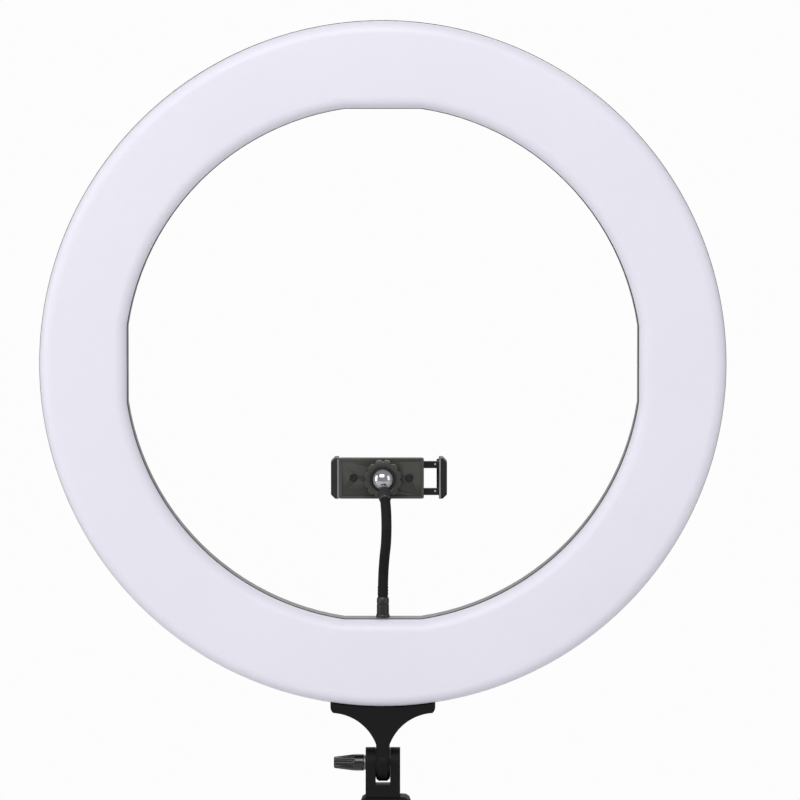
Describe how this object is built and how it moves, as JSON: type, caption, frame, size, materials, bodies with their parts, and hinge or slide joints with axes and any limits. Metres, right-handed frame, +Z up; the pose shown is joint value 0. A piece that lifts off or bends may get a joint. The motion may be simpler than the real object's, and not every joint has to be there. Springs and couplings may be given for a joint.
{
  "type": "ring light",
  "caption": "Large LED ring light head with milky front diffuser, clevis tilt mount for a light stand and a gooseneck phone clamp in its opening.",
  "frame": {"origin": "centre of the stand socket's mouth, on the socket's axis", "axes": "+Z up along the stand, -Y the way the light shines, +X to the right seen from the front"},
  "size_m": [0.4899, 0.0606, 0.5993],
  "materials": {
    "housing_plastic": "fine moulded texture, dark grey black",
    "lens": "smooth milky diffuser",
    "aluminium": "mill finish",
    "white_board": "white solder mask",
    "warm_led": "yellow phosphor",
    "cool_led": "pale phosphor",
    "steel": "zinc plated",
    "dark_screw": "blackened",
    "brass": "turned",
    "green_board": "green solder mask",
    "component": "moulded packages",
    "red_wire": "insulated lead",
    "black_gloss": "gloss moulding",
    "knob_plastic": "gloss moulded phenolic",
    "bracket_plastic": "filled nylon, fine grain",
    "nylon": "black nylon",
    "neck_fitting": "satin",
    "neck_rubber": "matte jacket",
    "chrome": "polished",
    "clamp_plastic": "semi-gloss moulding",
    "jaw_plastic": "gloss moulding",
    "pad_rubber": "soft grip pad"
  },
  "bodies": {
    "stand_mount": {"fork": "bracket_plastic", "socket_body": "bracket_plastic", "socket_bolt": "steel", "lock_bush": "brass", "pivot_nut": "steel"},
    "pad": {"lock_pad": "brass"},
    "locking_knob": {"lock_screw": "steel", "lock_knob": "knob_plastic"},
    "washer": {"tilt_washer": "steel"},
    "tilting_knob": {"tilt_stud": "steel", "tilt_knob": "knob_plastic"},
    "head": {"rear_housing": "housing_plastic", "diffuser": "lens", "heat_spreader": "aluminium", "led_boards": "white_board", "warm_leds": "warm_led", "cool_leds": "cool_led", "board_jumpers": "white_board", "board_screws": "steel", "housing_screws": "dark_screw", "accessory_inserts": "brass", "control_cover": "housing_plastic", "cover_screws": "dark_screw", "driver_board": "green_board", "driver_components": "component", "led_lead": "red_wire", "dc_inlet": "black_gloss", "switch_frame": "black_gloss", "dial_pots": "steel", "bracket": "bracket_plastic", "bracket_plate": "steel", "bracket_screws": "dark_screw", "friction_washers": "nylon", "neck_stud": "steel", "neck_ferrule": "neck_fitting", "neck_link_1": "neck_rubber"},
    "rocker": {"switch_rocker": "black_gloss"},
    "brightness_dial": {"brightness_shaft": "steel", "brightness_knob": "knob_plastic"},
    "colour_dial": {"colour_shaft": "steel", "colour_knob": "knob_plastic"},
    "neck_a": {"neck_link_2": "neck_rubber"},
    "neck_b": {"neck_link_3": "neck_rubber"},
    "neck_c": {"neck_link_4": "neck_rubber"},
    "neck_d": {"neck_link_5": "neck_rubber"},
    "neck_e": {"neck_link_6": "neck_rubber"},
    "neck_head": {"neck_link_7": "neck_rubber", "neck_top_ferrule": "neck_fitting", "ball_stem": "chrome"},
    "ball": {"clamp_ball": "chrome"},
    "seat": {"ball_seat": "nylon"},
    "clamp": {"clamp_body": "clamp_plastic", "clamp_back": "jaw_plastic", "clamp_screws": "dark_screw", "fixed_pad": "pad_rubber", "return_spring": "steel"},
    "nut": {"ball_nut": "clamp_plastic"},
    "jaw": {"sliding_jaw": "jaw_plastic", "sliding_pad": "pad_rubber", "rail_pins": "steel"}
  },
  "joints": [
    {"name": "head_tilt", "type": "hinge", "parent": "stand_mount", "child": "head", "pos_m": [0, 0, 0.068], "axis": [1, 0, 0], "range_deg": [-90, 90]},
    {"name": "tilt_washer_travel", "type": "slide", "parent": "stand_mount", "child": "washer", "axis": [-1, 0, 0], "range_m": [0, 0.0015]},
    {"name": "tilt_knob_turn", "type": "hinge", "parent": "washer", "child": "tilting_knob", "pos_m": [-0.014, 0, 0.068], "axis": [-1, 0, 0], "range_deg": [0, 540.5]},
    {"name": "lock_pad_travel", "type": "slide", "parent": "stand_mount", "child": "pad", "axis": [1, 0, 0], "range_m": [-0.00125, 0.0025]},
    {"name": "lock_knob_turn", "type": "hinge", "parent": "pad", "child": "locking_knob", "pos_m": [0.022, 0, 0.017], "axis": [1, 0, 0], "range_deg": [-360.5, 720.5]},
    {"name": "power_rocker", "type": "hinge", "parent": "head", "child": "rocker", "pos_m": [0, 0.028, 0.1423], "axis": [0, 0, 1], "range_deg": [0, 16]},
    {"name": "brightness_turn", "type": "hinge", "parent": "head", "child": "brightness_dial", "pos_m": [-0.032, 0.028, 0.1423], "axis": [0, 1, 0], "range_deg": [-140, 140]},
    {"name": "colour_turn", "type": "hinge", "parent": "head", "child": "colour_dial", "pos_m": [0.032, 0.028, 0.1423], "axis": [0, 1, 0], "range_deg": [-140, 140]},
    {"name": "neck_bend_1", "type": "hinge", "parent": "head", "child": "neck_a", "pos_m": [0.00005, 0.00357, 0.19348], "axis": [0.9925, 0.1219, 0], "range_deg": [-28, 20]},
    {"name": "neck_bend_2", "type": "hinge", "parent": "neck_a", "child": "neck_b", "pos_m": [0.00047, 0.00014, 0.20598], "axis": [0.1121, -0.9126, -0.3931], "range_deg": [-18, 18]},
    {"name": "neck_bend_3", "type": "hinge", "parent": "neck_b", "child": "neck_c", "pos_m": [0.00128, -0.00646, 0.21711], "axis": [0.9925, 0.1219, 0], "range_deg": [-22, 28]},
    {"name": "neck_bend_4", "type": "hinge", "parent": "neck_c", "child": "neck_d", "pos_m": [0.00227, -0.0145, 0.22723], "axis": [0.1077, -0.8768, -0.4687], "range_deg": [-18, 18]},
    {"name": "neck_bend_5", "type": "hinge", "parent": "neck_d", "child": "neck_e", "pos_m": [0.00263, -0.01745, 0.23975], "axis": [0.9925, 0.1219, 0], "range_deg": [-10, 32]},
    {"name": "neck_bend_6", "type": "hinge", "parent": "neck_e", "child": "neck_head", "pos_m": [0.00221, -0.01397, 0.25213], "axis": [0.1051, -0.856, 0.5062], "range_deg": [-18, 18]},
    {"name": "ball_spin", "type": "hinge", "parent": "neck_head", "child": "ball", "pos_m": [0, 0.004, 0.2714], "axis": [-0.0862, 0.7018, 0.7071], "range_deg": [-180, 180]},
    {"name": "ball_tilt", "type": "hinge", "parent": "ball", "child": "seat", "pos_m": [0, 0.004, 0.2714], "axis": [0.9927, 0, 0.121], "range_deg": [0, 90]},
    {"name": "clamp_roll", "type": "hinge", "parent": "seat", "child": "clamp", "pos_m": [0, 0.004, 0.2714], "axis": [0, -1, 0], "range_deg": [-90, 90]},
    {"name": "ball_nut_turn", "type": "hinge", "parent": "clamp", "child": "nut", "pos_m": [0, 0.004, 0.2714], "axis": [0, -1, 0], "range_deg": [0, 180]},
    {"name": "jaw_slide", "type": "slide", "parent": "clamp", "child": "jaw", "axis": [1, 0, 0], "range_m": [-0.008, 0.015], "deforming": ["return_spring"]}
  ],
  "couplings": [
    {"joint": "tilt_knob_turn", "follows": "tilt_washer_travel", "rad_per_m": 6283.2},
    {"joint": "lock_knob_turn", "follows": "lock_pad_travel", "rad_per_m": 5026.5}
  ]
}
